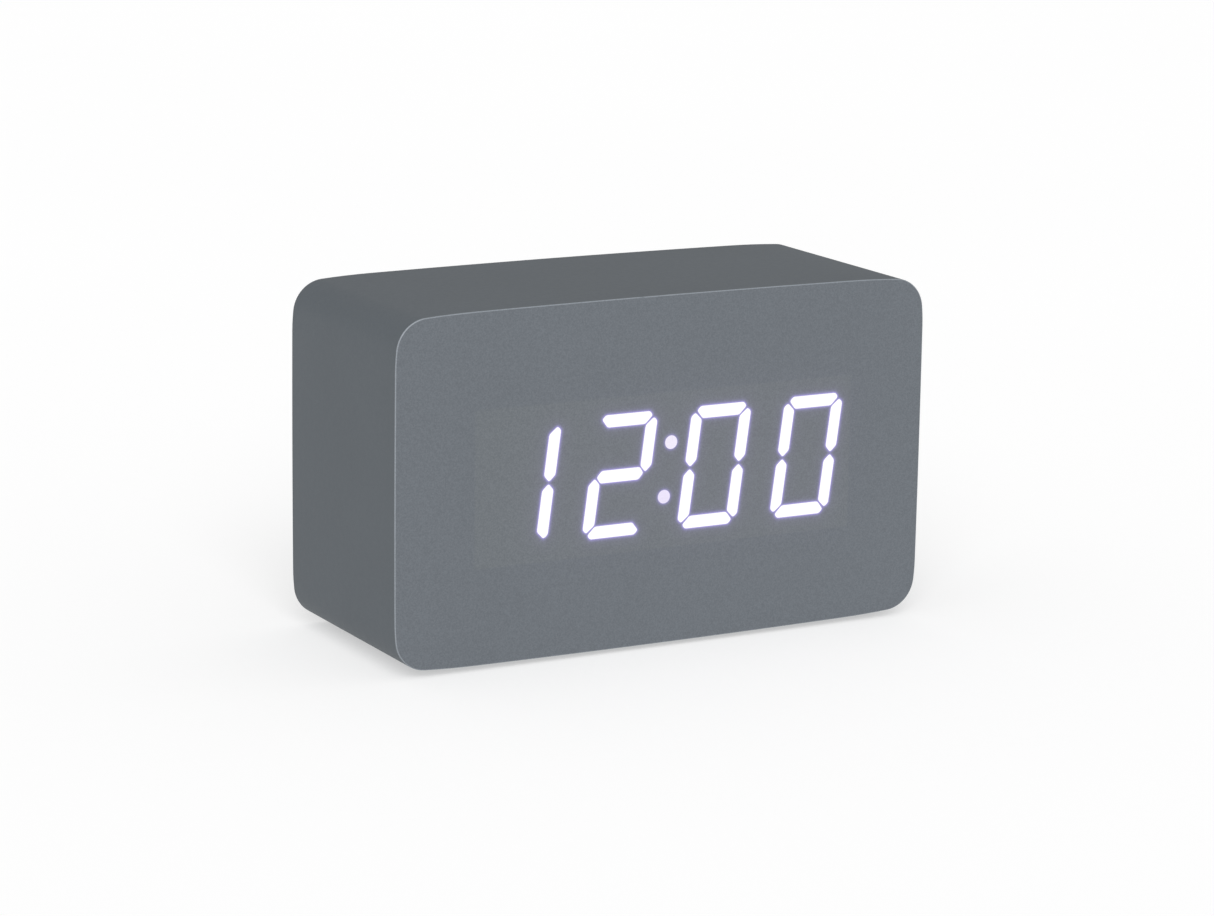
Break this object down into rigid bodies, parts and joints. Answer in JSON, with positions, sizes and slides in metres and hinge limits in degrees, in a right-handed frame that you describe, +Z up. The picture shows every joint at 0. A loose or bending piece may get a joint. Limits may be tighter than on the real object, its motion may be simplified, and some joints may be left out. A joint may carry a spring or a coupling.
{
  "type": "digital alarm clock",
  "caption": "Small rounded-block alarm clock with white light-bar figures glowing through a grey front, and sprung set keys, a mode switch and a hinged cell door on the back.",
  "frame": {"origin": "on the surface the feet stand on, below the middle of the body", "axes": "+X to the right seen from the front, +Y from the front face to the back, +Z up"},
  "size_m": [0.12, 0.048, 0.072],
  "materials": {
    "laminate": "matt, fine grain",
    "fibreboard": "raw",
    "foot_rubber": "matt",
    "label": "satin",
    "bar_light": "lit",
    "dot_light": "lit",
    "film": "satin",
    "reflector": "matt",
    "foam": "matt",
    "white_board": "satin",
    "green_board": "satin",
    "led_chip": "matt",
    "screw_steel": "satin",
    "nickel": "bright",
    "white_plastic": "matt",
    "cable_grey": "matt",
    "switch_black": "matt",
    "stem_cream": "matt",
    "cover_black": "matt, fine texture",
    "button_black": "satin",
    "part_black": "satin",
    "capacitor_blue": "gloss",
    "resistor_black": "matt",
    "cell_blue": "printed sleeve",
    "wire_red": "gloss",
    "wire_black": "gloss"
  },
  "bodies": {
    "clock": {"body_block": "fibreboard", "body_wrap": "laminate", "front_skin": "laminate", "rear_skin": "laminate", "rubber_feet": "foot_rubber", "rating_label": "label", "lit_bars": "bar_light", "lit_colon": "dot_light", "diffuser_film": "film", "display_reflector": "reflector", "light_gasket": "foam", "display_board": "white_board", "segment_leds": "led_chip", "display_screws": "screw_steel", "display_socket": "white_plastic", "ribbon_cable": "cable_grey", "main_board": "green_board", "board_socket": "white_plastic", "board_screws": "screw_steel", "tact_switches": "switch_black", "mode_switch_can": "nickel", "usb_shell": "nickel", "usb_tongue": "part_black", "buzzer": "part_black", "buzzer_ring": "foam", "microphone": "nickel", "microphone_boot": "foot_rubber", "microcontroller": "part_black", "display_driver": "part_black", "crystal": "nickel", "capacitors": "capacitor_blue", "regulator": "part_black", "transistors": "part_black", "chip_resistors": "resistor_black", "rear_cover": "cover_black", "rear_screws": "screw_steel", "battery_top": "cell_blue", "battery_middle": "cell_blue", "battery_bottom": "cell_blue", "left_contacts": "nickel", "right_contacts": "nickel", "battery_springs": "nickel", "red_wire": "wire_red", "black_wire": "wire_black"},
    "set_key": {"set_button": "button_black", "set_plunger": "stem_cream"},
    "up_key": {"up_button": "button_black", "up_plunger": "stem_cream"},
    "down_key": {"down_button": "button_black", "down_plunger": "stem_cream"},
    "mode_lever": {"mode_switch_knob": "white_plastic"},
    "cell_door": {"battery_door": "cover_black", "door_latch": "cover_black"}
  },
  "joints": [
    {"name": "set_press", "type": "slide", "parent": "clock", "child": "set_key", "axis": [0, -1, 0], "range_m": [0, 0.0006], "stiffness_N_per_m": 1500, "springref_m": -0.0004},
    {"name": "up_press", "type": "slide", "parent": "clock", "child": "up_key", "axis": [0, -1, 0], "range_m": [0, 0.0006], "stiffness_N_per_m": 1500, "springref_m": -0.0004},
    {"name": "down_press", "type": "slide", "parent": "clock", "child": "down_key", "axis": [0, -1, 0], "range_m": [0, 0.0006], "stiffness_N_per_m": 1500, "springref_m": -0.0004},
    {"name": "mode_slide", "type": "slide", "parent": "clock", "child": "mode_lever", "axis": [1, 0, 0], "range_m": [0, 0.002]},
    {"name": "door_hinge", "type": "hinge", "parent": "clock", "child": "cell_door", "pos_m": [-0.016, 0.0214, 0.0136], "axis": [-1, 0, 0], "range_deg": [0, 95]}
  ]
}
